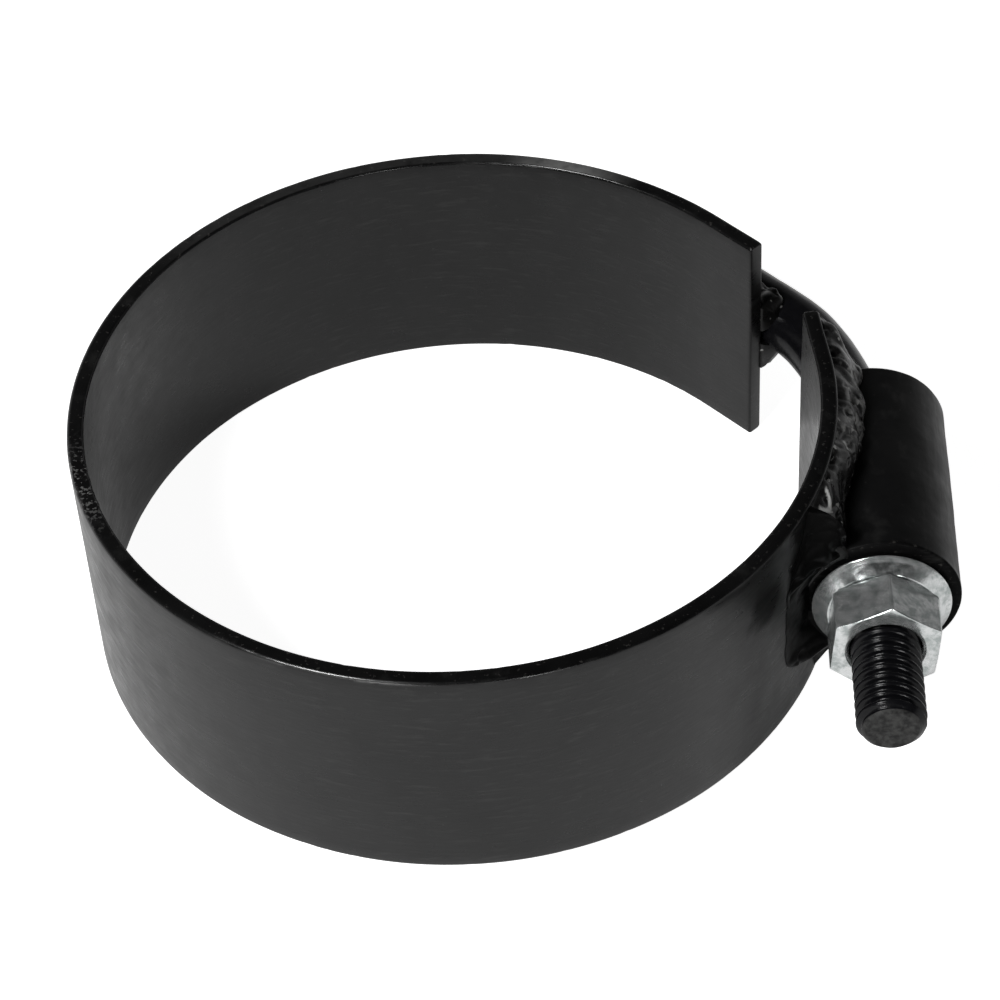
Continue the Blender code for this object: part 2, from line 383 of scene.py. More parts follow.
def shade_black_weld():
    """The corner weld: dead black, with its reflections nearly taken away, as painted shade between the washer and
    the band.
    """
    graph = Graph("shade_black_weld")
    colour = graph.mix(graph.noise(2.0 * MM, 4.0), (0.0008, 0.0008, 0.0008), (0.003, 0.003, 0.003))
    graph.link(colour, "Base Color")
    graph.set(IOR=1.1)
    graph.link(graph.spread(graph.noise(1.2 * MM, 4.0), 0.3, 0.7, 0.30, 0.45), "Roughness")
    graph.bump([(graph.noise(0.9 * MM, 3.0), 0.25, 0.05 * MM)])
    return graph.material


def stud_black():
    """Black oxide on the thread and shank, uncoated matte steel where the "cut" value marks the sawn tip."""
    graph = Graph("stud_black")
    dark = graph.mix(graph.noise(1.5 * MM, 4.0), (0.002, 0.002, 0.0025), (0.006, 0.006, 0.007))
    mottle = graph.spread(graph.noise(0.8 * MM, 5.0), 0.38, 0.62, 0, 1)
    sawn = graph.mix(mottle, (0.007, 0.007, 0.007), (0.034, 0.034, 0.033))
    cut = graph.attribute("cut")
    graph.link(graph.mix(cut, dark, sawn), "Base Color")
    graph.set(IOR=1.28)
    shine = graph.spread(graph.noise(1.0 * MM, 3.0), 0.3, 0.7, 0.14, 0.26)
    graph.link(graph.math("ADD", shine, graph.math("MULTIPLY", cut, 0.3)), "Roughness")
    graph.bump([(graph.noise(0.5 * MM, 4.0), 0.4, 0.04 * MM)])
    return graph.material


def zinc_plate():
    """Dull bright plating, with faint clouding that leans to green, and mottled darker where the washer's upper-cone
    value is high.
    """
    graph = Graph("zinc_plate")
    tint = graph.mix(graph.noise(3.0 * MM, 3.0), (0.66, 0.68, 0.68), (0.84, 0.85, 0.85))
    stain = graph.spread(graph.noise(1.5 * MM, 5.0, 0.65), 0.42, 0.60, 0, 0.75)
    colour = graph.mix(stain, tint, (0.31, 0.35, 0.34))
    mottle = graph.spread(graph.noise(1.1 * MM, 4.0), 0.36, 0.60, 0.25, 0.95)
    colour = graph.mix(graph.math("MULTIPLY", graph.attribute("upper_cone_dark"), mottle), colour, (0.07, 0.075, 0.075))
    graph.link(colour, "Base Color")
    graph.set(Metallic=0.80)
    graph.link(graph.spread(graph.noise(0.8 * MM, 4.0), 0.3, 0.7, 0.15, 0.24), "Roughness")
    graph.bump([(graph.noise(1.8 * MM, 3.0), 0.5, 0.045 * MM), (graph.noise(0.25 * MM, 2.0), 0.3, 0.005 * MM)])
    return graph.material


def finish(piece, material, body):
    """Gives a piece its material and puts it on its body."""
    piece.data.materials.append(material)
    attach(piece, body)


# ------------ band

BAND_STEP = 0.8 * MM
WALL_STEP = 1.6 * MM
OUTER_EDGE_R = 0.65 * MM
INNER_EDGE_R = 0.50 * MM
END_EDGE_R = 0.35 * MM
LEAST_EDGE_R = 0.08 * MM
EDGE_STEPS = 5

# Heights of the bar's waves, nicks and pits, and how large each is along the surface
WAVE = 0.05 * MM
WAVE_SIZE = 22.0 * MM
NICK = 0.18 * MM
NICK_SIZE = 1.6 * MM
NICK_LEVEL = 0.35               # only noise above this makes a nick
PIT = 0.35 * MM
PIT_SIZE = 1.3 * MM

# Stretches of the upper rim, as (middle, half-width, fade) in degrees round the ring: grey pits, then a painted
# highlight, a painted sheen and a painted edge highlight, all laid on as lighter grey
PITTED_RIM = (198.0, 0.0, 13.0)
BACK_RIM_HIGHLIGHT = (72.5, 0.0, 14.0)
BACK_RIM_SHEEN = (105.0, 30.0, 15.0)
FRONT_EDGE_HIGHLIGHT = (255.0, 5.0, 12.0)
SHEEN = 0.13                     # how light the painted sheen and the painted edge highlight are, where the painted rim highlight is 1
EDGE_HIGHLIGHT = 0.28
EDGE_HIGHLIGHT_WIDTH = 0.45 * MM

# Painted shade beside the barrel, where reflections are dimmed, in degrees round the ring
DIMMING_START = -52.0
SHADE_FULL = -38.0
DIMMING_STOP = 30.0
SHADE = 0.75
SHADE_PATCH = -37.2              # the middle of its blackest patch of painted shade, and the patch's size
SHADE_PATCH_Z = 28.0 * MM
SHADE_PATCH_R = 2.5 * MM
SHADE_PATCH_FADE = 4.0 * MM
INNER_DIMMING_START = -5.0         # the fainter dimming inside the near end
INNER_DIMMING_FULL = 3.0
INNER_DIMMING_Z = 14.0 * MM        # the height that it starts at
INNER_DIMMING = 0.25


def band_route():
    """Points and outward directions along the bar's middle line, from the far end round to the near end."""
    start, end = FAR_CUT + END_TURN, 2 * math.pi + NEAR_CUT - END_TURN
    route = []
    for angle in spread(start, end, BAND_STEP / MID_R):
        route.append((on_ring(MID_R, angle), Vector((math.cos(angle), math.sin(angle), 0))))
    first, first_out = route[0]
    last, last_out = route[-1]
    first_along = Vector((first_out.y, -first_out.x, 0))
    last_along = quarter_turn(last_out)
    steps = spread(0, STRAIGHT_END, BAND_STEP)[1:]
    head = [(first + first_along * s, first_out) for s in reversed(steps)]
    tail = [(last + last_along * s, last_out) for s in steps]
    return head + route + tail


def bar_outline(inset=0.0):
    """The bar's section as (outward, up) points, with rolled edges."""
    half_t, half_w = HALF_THICKNESS - inset, BAND_WIDTH / 2 - inset
    corners = ((1, 1, OUTER_EDGE_R), (-1, 1, INNER_EDGE_R), (-1, -1, INNER_EDGE_R), (1, -1, OUTER_EDGE_R))
    outline = []
    for turn, (side, top, radius) in enumerate(corners):
        radius = max(radius - inset, LEAST_EDGE_R)
        centre = Vector((side * (half_t - radius), top * (half_w - radius)))
        for step in range(EDGE_STEPS + 1):
            angle = math.pi / 2 * (turn + step / EDGE_STEPS)
            outline.append(centre + Vector((math.cos(angle), math.sin(angle))) * radius)
        if turn in (1, 3):
            start, end = outline[-1], Vector((outline[-1].x, -outline[-1].y))
            count = round(abs(end.y - start.y) / WALL_STEP)
            outline += [start.lerp(end, i / count) for i in range(1, count)]
    return outline


def rim_share(place):
    """1 on the bar's rounded edges, 0 on its walls."""
    return smooth_step((abs(place.z - MID_Z) - BAND_WIDTH / 2 + OUTER_EDGE_R) / OUTER_EDGE_R)


def band_unevenness(place):
    """How far the bar's skin stands out from its true shape."""
    wave = rough(Vector((place.x, place.y, place.z * 0.6)), WAVE_SIZE, 2) * WAVE
    nicks = -max(0.0, rough(place, NICK_SIZE) - NICK_LEVEL) * NICK * rim_share(place)
    pits = rough(place, PIT_SIZE) * PIT * rim_pitted(place)
    return wave + nicks + pits


def ring_angle(place):
    """Degrees round the ring, from 0 to 360."""
    return math.degrees(math.atan2(place.y, place.x - RING_X)) % 360


def ring_radius(place):
    return (place.xy - Vector((RING_X, 0))).length


def rim_pitted(place):
    return (place.z > MID_Z) * rim_share(place) * plateau(ring_angle(place), *PITTED_RIM)


def rim_highlight_at(place):
    """1 where the upper rim is painted lighter grey as a highlight: at the back, with a fainter painted sheen beside
    it, and less so along its outer edge in front.
    """
    angle = ring_angle(place)
    face = smooth_step((place.z - BAND_WIDTH + 0.10 * MM) / (0.09 * MM))
    outer = smooth_step((ring_radius(place) - OUTER_R + EDGE_HIGHLIGHT_WIDTH) / (0.25 * MM))
    highlit = plateau(angle, *BACK_RIM_HIGHLIGHT) * face
    sheen_part = plateau(angle, *BACK_RIM_SHEEN) * face * SHEEN
    edge_part = plateau(angle, *FRONT_EDGE_HIGHLIGHT) * outer * (place.z > BAND_WIDTH - EDGE_HIGHLIGHT_WIDTH) * EDGE_HIGHLIGHT
    return max(highlit, sheen_part, edge_part)


def band_reflection_dimming(place):
    """1 where the band's reflections are dimmed: painted shade outside next to the barrel, and faintly inside the
    near end.
    """
    angle = (ring_angle(place) + 180) % 360 - 180
    if not DIMMING_START < angle < DIMMING_STOP:
        return 0.0
    if ring_radius(place) < MID_R:
        along = smooth_step((angle - INNER_DIMMING_START) / (INNER_DIMMING_FULL - INNER_DIMMING_START))
        return INNER_DIMMING * along * smooth_step((place.z - INNER_DIMMING_Z) / (8 * MM))
    across = math.radians(angle - SHADE_PATCH) * OUTER_R
    away = math.hypot(across, place.z - SHADE_PATCH_Z) + 1.2 * MM * rough(place, 4 * MM, 2)
    along = smooth_step((angle - DIMMING_START) / (SHADE_FULL - DIMMING_START))
    return max(SHADE * along, plateau(away, 0, SHADE_PATCH_R, SHADE_PATCH_FADE))


def make_band():
    route = band_route()
    ends = spread(0, math.pi / 2, math.pi / 2 / EDGE_STEPS)
    stations = []
    for sign, (point, outward) in ((-1, route[0]), (1, route[-1])):
        along = quarter_turn(outward) * sign
        stations.append([(point - along * END_EDGE_R * (1 - math.sin(t)), outward, END_EDGE_R * (1 - math.cos(t)))
                         for t in ends])
    body = [(point, outward, 0.0) for point, outward in route[1:-1]]
    rings = []
    for point, outward, inset in list(reversed(stations[0])) + body + stations[1]:
        ring = []
        for out, up in bar_outline(inset):
            place = point + outward * out + Vector((0, 0, MID_Z + up))
            away = outward * out / HALF_THICKNESS * 0.7 + Vector((0, 0, up / MID_Z)) * rim_share(place)
            ring.append(place + away.normalized() * band_unevenness(place))
        rings.append(ring)
    band = skin("band_bar", rings)
    store(band, "wear", rim_share)
    # painted highlight and painted sheen on the upper rim
    store(band, "rim_highlight", rim_highlight_at)
    store(band, "pitted", rim_pitted)
    # painted shade beside the barrel, and a fainter dimming inside the near end
    store(band, "reflection_dimming", band_reflection_dimming)
    band.data.materials.append(FINISHES["black_paint"])
    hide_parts("band_near_half", "band_far_half")
    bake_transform(band)


# ------------ barrel

BARREL_EDGE = 0.50 * MM
EDGE_CURVE = 4                  # steps in the curve of each edge
BARREL_SIDES = 144
BARREL_STEP = 0.9 * MM
BARREL_DENTS = ((0.09 * MM, 7.0 * MM), (0.02 * MM, 2.0 * MM))  # as (height, size)
BARREL_SHRINK = 0.05 * MM       # makes room for them inside the CAD's barrel
BARREL_WORN = 1.6 * MM          # how far wear reaches from each end
NOTCH_STATIONS = 90             # of the band's route, from its near end to well past the barrel
NOTCH_SINK = 0.05 * MM          # how far the barrel reaches into the band's outside
NOTCH_OVER = 1.0 * MM           # how far the cutter passes the band's rims


def barrel_unevenness(place):
    return sum(rough(place, size, 2) * height for height, size in BARREL_DENTS)


def make_barrel():
    near, far = barrel_low.y, barrel_high.y
    outer = [(BARREL_R, y) for y in spread(near + 2 * BARREL_EDGE, far - 2 * BARREL_EDGE, BARREL_STEP)]
    corners = [(BARREL_BORE_R, near), (BARREL_R, near)] + outer + [(BARREL_R, far), (BARREL_BORE_R, far)]
    outline = softened(corners, BARREL_EDGE, EDGE_CURVE)

    def reach(radius, y, angle):
        if radius > BARREL_BORE_R + BARREL_EDGE:
            radius += barrel_unevenness(about_stud(radius, angle, y)) - BARREL_SHRINK
        return radius, y

    barrel = turned_ring("barrel_tube", outline, BARREL_SIDES, reach)
    notch_barrel(barrel)
    store(barrel, "wear", barrel_wear)
    # painted shade on the near face
    store(barrel, "reflection_dimming", barrel_painted_shade)
    finish(barrel, FINISHES["barrel_paint"], "barrel_end")
    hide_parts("barrel")


def barrel_wear(place):
    """1 at the rounded ends of the barrel, 0 along its side."""
    from_end = min(place.y - barrel_low.y, barrel_high.y - place.y)
    return 1 - smooth_step(from_end / BARREL_WORN)


def barrel_painted_shade(place):
    """1 on the barrel's near face, where painted shade takes its reflections away, 0 beyond its rounded edge."""
    return 1 - smooth_step((place.y - barrel_low.y - 0.25 * MM) / (0.3 * MM))


def notch_barrel(barrel):
    """Cuts the barrel to the band's outside."""
    low, high = -NOTCH_OVER, BAND_WIDTH + NOTCH_OVER
    rings = []
    for point, outward in band_route()[-NOTCH_STATIONS:]:
        inner = point - outward * BARREL_R
        outer = point + outward * (HALF_THICKNESS - NOTCH_SINK)
        rings.append([Vector((p.x, p.y, z)) for p, z in ((inner, low), (outer, low), (outer, high), (inner, high))])
    cutter = skin("notch_cutter", rings)
    modifier = barrel.modifiers.new("notch", "BOOLEAN")
    modifier.object = cutter
    modifier.operation = "DIFFERENCE"
    modifier.solver = "EXACT"
    graph = bpy.context.evaluated_depsgraph_get()
    cut_mesh = bpy.data.meshes.new_from_object(barrel.evaluated_get(graph))
    barrel.modifiers.clear()
    barrel.data = cut_mesh
    bpy.data.objects.remove(cutter)


# ------------ weld beads

BEAD_STEP = 0.22 * MM
BEAD_ACROSS = 44
BEAD_UNDER = 8
BEAD_SINK = 0.3 * MM            # how far a bead reaches into the parts it joins
BEAD_FADE = 1.8 * MM            # over which a bead swells from its ends
BEAD_EDGE = 0.14                # share of its width, at each side, over which its relief sets in
BEAD_SHARP = math.radians(60.0)
END_BULGE = 0.3                 # shares of its bulge and of its relief that a bead keeps at its ends
END_RELIEF = 0.15
RIPPLE = 0.20 * MM
RIPPLE_PITCH = 2.1 * MM
RIPPLE_WANDER = 1.2             # how far a ripple wanders and bows, in pitches
RIPPLE_BOW = 0.9
LUMP = 0.85 * MM
LUMP_SIZE = 3.6 * MM
CRATER = 2.2 * MM
CRATER_SIZE = 2.4 * MM
CRATER_LEVEL = -0.30            # only noise below this makes a crater

# The barrel's beads
BEAD_BULGE = 1.0 * MM
BEAD_TOE = 6.5                  # degrees from the barrel's crown to the bead at its far end
BEAD_TOE_NEARER = 20.0          # how much further down it is at the near end
BEAD_TOE_WANDER = 4.0
OVER_RIM = 0.75 * MM            # how far the bead laps over the band's rim
BEAD_TAIL = 4.6 * MM            # how far it runs past the barrel's far end, to the band's cut end
TAIL_OVERLAP = 0.4 * MM         # how far short of the barrel's far end it starts to narrow
TAIL_SHRINK = 0.9               # how much of its width it loses, and of its bulge
TAIL_FLATTEN = 0.8
UNDER_RIM = 0.25 * MM           # how far below the level of the rim it ends
UNDER_RIM_LEAST = 0.02 * MM
UNDER_RIM_WANDER = 0.5 * MM
BEAD_NOSE = 0.2 * MM            # how far the upper bead runs past the barrel's near end
NOSE_R = 1.0 * MM               # the rounding of a bead's near end
LOWER_BEAD_START = 4.0 * MM     # from the barrel's near end to where the lower bead begins
FLANK_SCALE_AND_HIGHLIGHT = (2.5, 0.0, 6.0)    # (middle, half-width, fade) of the grey scale and painted highlight on the flank, in degrees from the toe
CURL = Vector((AXIS_X - 8.4 * MM, barrel_low.y + 3.2 * MM))  # the curl of painted highlight on the upper bead, the lit rim of a crater
CURL_SIZE = (1.2 * MM, 1.5 * MM)
CURL_LINE = (1.0, 0.12, 0.12)   # its line, as (middle, half-width, fade) in shares of its size
CURL_TURN = (-20.0, 75.0, 15.0)  # and how far round it goes, in degrees
GLINT_SPOT = Vector((AXIS_X - 4.5 * MM, barrel_low.y + 14.3 * MM))  # the painted glint half way along the bead
GLINT_SPOT_R = 0.25 * MM

# The corner weld
CORNER_SEED = 0.57
CORNER_REACH = 5.0 * MM         # across the barrel's near face, where the washer leaves room
CORNER_REACH_LEAST = 0.5 * MM
CORNER_CLEAR = 0.9 * MM         # kept between the weld and the washer
CORNER_HIGH = 17.7 * MM         # its ends, from mid-height
CORNER_LOW = -11.0 * MM
CORNER_DOME = 5.0 * MM          # over which its upper end rounds off
CORNER_FOOT = 6.0 * MM          # and its lower end
CORNER_LIP = 1.2 * MM           # how far its top swells past the barrel's near face
CORNER_DOWN = 5.2 * MM          # how far along the band's wall it runs, low down and at its top
CORNER_DOWN_TOP = 0.3 * MM
CORNER_WANDER = 0.6 * MM

# The stud's beads
STUD_BEAD_END = math.radians(55.0)
STUD_BEAD_TAIL = 2.2 * MM       # how far they run past the band's cut end
STUD_BEAD_ROOT = 20.0           # degrees round the stud, from its side at the band, to their root and toe
STUD_BEAD_TOE = 84.0
STUD_BEAD_TOE_WANDER = 9.0
STUD_BEAD_RISE = 1.6 * MM       # how far above the stud they meet the band's wall
STUD_BEAD_RISE_WANDER = 1.2 * MM
STUD_BEAD_HOLLOW = 0.5 * MM
STUD_BEAD_SINK = BEAD_SINK + 0.2 * MM


def bead_skin(name, lines, seed, share=lambda line: 1.0):
    """A bead from (under, start, end, out, bulge) lines across it.

    under holds points hidden in the parts it joins. The free skin arches from start to end, bulging along out.
    share(line) is how much of the relief a line carries."""
    rings = []
    shift = Vector((seed, seed * 1.7, seed * 0.6))
    total = len(lines) - 1
    for index, (under, start, end, out, bulge) in enumerate(lines):
        along = index * BEAD_STEP
        fade = smooth_step(min(index, total - index) * BEAD_STEP / BEAD_FADE) * share(lines[index])
        ring = list(under)
        for k in range(BEAD_ACROSS + 1):
            t = k / BEAD_ACROSS
            edge = smooth_step(min(t, 1 - t) / BEAD_EDGE)
            base = start.lerp(end, t) + out * (4 * t * (1 - t) * bulge * (END_BULGE + (1 - END_BULGE) * fade))
            wander = noise.noise((base + shift) / (4 * MM)) * RIPPLE_WANDER
            phase = along / RIPPLE_PITCH + wander + RIPPLE_BOW * (2 * t - 1) ** 2
            ripple = 0.5 - abs((phase % 1.0) * 2 - 1) ** 2
            lumps = rough(base + shift, LUMP_SIZE, 1)
            crater = min(0.0, rough(base - shift, CRATER_SIZE, 1) - CRATER_LEVEL)
            lift = ripple * RIPPLE + lumps * LUMP + crater * CRATER
            ring.append(base + out * lift * edge * (END_RELIEF + (1 - END_RELIEF) * fade))
        rings.append(ring)
    return skin(name, rings, sharp=BEAD_SHARP)


def wall_x(y):
    """The outer face of the band's near end at a given y."""
    straight_from = NEAR_CUT - END_TURN
    foot = on_ring(OUTER_R, straight_from)
    if y <= foot.y:
        return RING_X + math.sqrt(OUTER_R ** 2 - y * y)
    return foot.x - (y - foot.y) * math.tan(straight_from)


def bead_toe(y, seed):
    """The angle from the barrel's crown to the bead: small at the far end, well down the side at the near one."""
    nearer = smooth_step((2 * MM - y) / (19 * MM))
    wander = BEAD_TOE_WANDER * noise.noise(Vector((seed, y, 0)) / (3.1 * MM))
    return math.radians(BEAD_TOE + BEAD_TOE_NEARER * nearer + wander)


def barrel_bead_line(y, side, seed):
    """The bead's line across the shoulder between the barrel's crown and the band's rim, at y.

    Past the barrel's far end the bead narrows up to the corner of the band."""
    beyond = max(0.0, y - barrel_high.y + TAIL_OVERLAP) / BEAD_TAIL
    before = max(0.0, barrel_low.y - BEAD_NOSE + NOSE_R - y)
    drop = NOSE_R - math.sqrt(max(0.0, NOSE_R ** 2 - before ** 2))
    toe = bead_toe(y, seed)
    shell = BARREL_R - BEAD_SINK
    wall = wall_x(y) - BEAD_SINK
    under_rim = UNDER_RIM - UNDER_RIM_WANDER * noise.noise(Vector((0, y, seed)) / (2.3 * MM))
    top = BAND_WIDTH / 2 - max(UNDER_RIM_LEAST, under_rim)
    at_wall = math.asin(min(0.98, (AXIS_X - wall) / shell))

    def spot(x, rise):
        return Vector((x, y, MID_Z + side * (rise - drop)))

    start = spot(AXIS_X - BARREL_R * math.sin(toe), BARREL_R * math.cos(toe))
    end = spot(wall_x(y) - OVER_RIM, top)
    start = start.lerp(end + (end - spot(wall, 0)) * 0.02, beyond * TAIL_SHRINK)
    under = [spot(wall, top - 0.1 * MM)]
    for i in range(BEAD_UNDER + 1):
        turn = at_wall + (toe - at_wall) * i / BEAD_UNDER
        deep = spot(AXIS_X - shell * math.sin(turn), shell * math.cos(turn))
        under.append(deep.lerp(end, beyond * TAIL_SHRINK))
    across = (end - start).normalized()
    out = Vector((across.z * side, 0, -across.x * side))
    return under, start, end, out, BEAD_BULGE * (1 - beyond * TAIL_FLATTEN)


def corner_line(z):
    """The line, at height z, of the weld that wraps the corner between the band and the barrel's near end."""
    up = z - MID_Z
    near = barrel_low.y
    root = wall_x(near)
    washer_left = AXIS_X - math.sqrt(max(0.0, WASHER_R ** 2 - up ** 2))
    room = washer_left - CORNER_CLEAR - root if abs(up) < WASHER_R else CORNER_REACH
    above = smooth_step((CORNER_HIGH + 1.2 * MM - up) / (14 * MM))
    below = math.sqrt(max(0.0, 1 - max(0.0, (CORNER_LOW + CORNER_FOOT - up) / CORNER_FOOT) ** 2))
    dome = math.sqrt(max(0.0, 1 - max(0.0, (up - CORNER_HIGH + CORNER_DOME) / CORNER_DOME) ** 2))
    reach = max(CORNER_REACH_LEAST, min(CORNER_REACH, room)) * (below if up < 0 else dome)
    wander = CORNER_WANDER * noise.noise(Vector((0, z, CORNER_SEED)) / (3 * MM))
    down_wall = (CORNER_DOWN_TOP + (CORNER_DOWN + wander) * above) * below
    inside = Vector((root - BEAD_SINK, near + 1.0 * MM, z))
    on_wall = Vector((wall_x(near - down_wall) + 0.03 * MM, near - down_wall, z))
    ahead = CORNER_LIP * smooth_step((up - WASHER_R) / (4 * MM)) * dome
    on_barrel = Vector((root + 0.1 * MM + reach, near + 0.4 * MM - ahead, z))
    across = (on_barrel - on_wall).normalized()
    out = Vector((across.y, -across.x, 0))
    return [inside], on_wall, on_barrel, out, 0.06 * reach


def corner_share(line):
    """How much relief a line of the corner weld carries: none where the washer leaves it little room."""
    on_wall, on_barrel = line[1:3]
    return 0.7 * smooth_step((on_barrel.x - on_wall.x - 3 * MM) / (4 * MM))


def make_corner_weld():
    lines = [corner_line(z) for z in spread(MID_Z + CORNER_LOW, MID_Z + CORNER_HIGH, BEAD_STEP)]
    bead = bead_skin("weld_corner", lines, CORNER_SEED, corner_share)
    # dead black as painted shade
    finish(bead, FINISHES["shade_black_weld"], "barrel_end")


def bead_scale_and_highlight(place, seed):
    """1 on the flank of a barrel bead that meets the barrel, where grey scale is laid on as a painted highlight."""
    toe = bead_toe(place.y, seed)
    turn = math.atan2(AXIS_X - place.x, abs(place.z - MID_Z))
    flank = plateau(math.degrees(turn - toe), *FLANK_SCALE_AND_HIGHLIGHT)
    return flank * smooth_step((place.y - barrel_low.y - 3 * MM) / (5 * MM))


def bead_painted_glint(place):
    """1 on painted highlights: a curl near the upper bead's near end, the lit rim of a crater, and a glinting spot
    half way along it.
    """
    if place.z < MID_Z:
        return 0.0
    x, y = place.x - CURL.x, place.y - CURL.y
    distance = math.hypot(x / CURL_SIZE[0], y / CURL_SIZE[1])
    curl = plateau(distance, *CURL_LINE) * plateau(math.degrees(math.atan2(y, x)), *CURL_TURN)
    return max(curl, plateau((place.xy - GLINT_SPOT).length, 0, GLINT_SPOT_R, GLINT_SPOT_R))


def make_barrel_beads():
    for name, side, seed in (("weld_barrel_top", 1, 0.31), ("weld_barrel_bottom", -1, 0.77)):
        first = barrel_low.y - BEAD_NOSE if side == 1 else barrel_low.y + LOWER_BEAD_START
        places = spread(first, barrel_high.y + BEAD_TAIL - 0.6 * MM, BEAD_STEP)
        bead = bead_skin(name, [barrel_bead_line(y, side, seed) for y in places], seed)
        store(bead, "scale_and_highlight", lambda place, seed=seed: bead_scale_and_highlight(place, seed))
        # painted highlights on the upper bead
        store(bead, "painted_glint", bead_painted_glint)
        finish(bead, FINISHES["painted_weld"], "barrel_end")
        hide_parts("barrel_weld_top" if side == 1 else "barrel_weld_bottom")


def stud_bead_line(point, outward, side, seed, past_cut):
    """The bead's line in the groove between the stud's shoulder and the band's wall.

    Past the band's cut end the bead sinks into the stud."""
    wall = HALF_THICKNESS - BEAD_SINK
    centre = HALF_THICKNESS + GAP + STUD_R
    shell = STUD_R - STUD_BEAD_SINK
    where = point + Vector((0, 0, seed))
    root = math.radians(STUD_BEAD_ROOT)
    toe = math.radians(STUD_BEAD_TOE + STUD_BEAD_TOE_WANDER * noise.noise(where / (3 * MM)))
    height = STUD_R + STUD_BEAD_RISE + STUD_BEAD_RISE_WANDER * noise.noise(where / (2 * MM))

    def spot(distance, rise):
        return point + outward * distance + Vector((0, 0, MID_Z + side * rise))

    under = [spot(wall, height), spot(wall, shell * 0.3)]
    for i in range(BEAD_UNDER):
        turn = root + (toe - root) * i / (BEAD_UNDER - 1)
        under.append(spot(centre - shell * math.cos(turn), shell * math.sin(turn)))
    start = spot(centre - SHANK_R * math.cos(toe), SHANK_R * math.sin(toe))
    end = spot(HALF_THICKNESS, height)
    sunk = spot(centre - shell * 0.6, shell * 0.6)
    share = smooth_step(past_cut / STUD_BEAD_TAIL)
    under = [place.lerp(sunk, share) for place in under]
    start, end = start.lerp(sunk, share), end.lerp(sunk, share)
    across = (spot(HALF_THICKNESS, height) - spot(centre, SHANK_R)).normalized()
    out = across.cross(quarter_turn(outward)) * side
    return under, start, end, out, -STUD_BEAD_HOLLOW * (1 - share)


def make_stud_beads():
    for name, side, seed in (("weld_stud_top", 1, 0.43), ("weld_stud_bottom", -1, 0.91)):
        stations = []
        tip, outward = band_route()[0]
        along = quarter_turn(outward)
        for s in spread(-STUD_BEAD_TAIL, STRAIGHT_END - BEAD_STEP, BEAD_STEP):
            stations.append((tip + along * s, outward, max(0.0, -s)))
        for angle in spread(FAR_CUT + END_TURN, STUD_BEAD_END, BEAD_STEP / MID_R):
            stations.append((on_ring(MID_R, angle), Vector((math.cos(angle), math.sin(angle), 0)), 0.0))
        bead = bead_skin(name, [stud_bead_line(p, o, side, seed, past) for p, o, past in stations], seed)
        finish(bead, FINISHES["painted_weld"], "stud_end")
        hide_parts("stud_weld_top" if side == 1 else "stud_weld_bottom")


# ------------ stud

PITCH = 25.4 * MM / 16
THREAD_DEPTH = 0.82 * MM
THREAD_LENGTH = 42.0 * MM
THREAD_RINGS = 14               # rings in each turn of the thread
CREST = 0.12                    # share of the pitch that is crest, and share that is root
RUN_OUT = 1.5 * PITCH           # over which the thread fades into the shank
SHANK_R = 4.6 * MM              # rolled threads stand a little proud of the plain shank
STUD_SIDES = 72
STUD_STEP = 0.8 * MM
STUD_SHARP = math.radians(50.0)
STUD_DENT = 0.05 * MM
STUD_DENT_SIZE = 4.0 * MM
TIP_CHAMFER = 1.25 * MM
CHAMFER_SLOPE = 1.1
SAWN_DEPTH = 0.35 * MM          # how far from its tip the stud is uncoated steel
CAP_SHARES = (0.05, 0.2, 0.4, 0.6, 0.8, 0.94)  # of the radius, at which the rings of an end face lie
CAP_RELIEF = 0.03 * MM
CAP_RELIEF_SIZE = 1.1 * MM
STUD_SAG = 1.0 * MM             # how much nearer the ring its free bend is drawn than the CAD's
SAG_START = barrel_high.y - 1.0 * MM
SAG_ONSET = 8.0 * MM            # the length over which that sets in, and over which it dies out
SAG_END = 20.0 * MM
SAG_FADE = 13.0 * MM


def thread_cut(turns):
    """How deep the thread is, from 0 at a crest to 1 at a root, for a number of turns along it."""
    t = turns % 1.0
    flank = abs(2 * t - 1)
    return smooth_step((flank - CREST) / (1 - 2 * CREST))


def stud_route():
    """(point, forward) along the stud's axis, from its tip to its welded end."""
    far_point, outward = band_route()[0]
    weld_line = far_point + outward * (HALF_THICKNESS + GAP + STUD_R)
    along = quarter_turn(outward)
    turn = math.atan2(-along.x, along.y)
    corner_y = weld_line.y + (weld_line.x - AXIS_X) / math.tan(turn)
    bend_y = corner_y - STUD_BEND_R * math.tan(turn / 2)
    forward = Vector((0, 1, 0))
    places = [(Vector((AXIS_X, y, 0)), forward)
              for y in spread(STUD_TIP_Y, STUD_TIP_Y + THREAD_LENGTH + 2 * PITCH, PITCH / THREAD_RINGS)]
    places += [(Vector((AXIS_X, y, 0)), forward) for y in spread(places[-1][0].y, bend_y, STUD_STEP)[1:-1]]
    for angle in spread(0, turn, STUD_STEP / STUD_BEND_R):
        x = AXIS_X - STUD_BEND_R * (1 - math.cos(angle))
        place = Vector((x, bend_y + STUD_BEND_R * math.sin(angle), 0))
        places.append((place, Vector((-math.sin(angle), math.cos(angle), 0))))
    arc_r = OUTER_R + GAP + STUD_R
    arc_start = on_ring(arc_r, FAR_CUT + END_TURN)
    bend_end = places[-1][0]
    count = round((arc_start - bend_end).length / STUD_STEP)
    places += [(bend_end.lerp(arc_start, i / count), along) for i in range(1, count)]
    for angle in spread(FAR_CUT + END_TURN, STUD_END, STUD_STEP / arc_r):
        places.append((on_ring(arc_r, angle), Vector((-math.sin(angle), math.cos(angle), 0))))
    return [(place - outward * STUD_SAG * sag_share(place.y), forward) for place, forward in places]


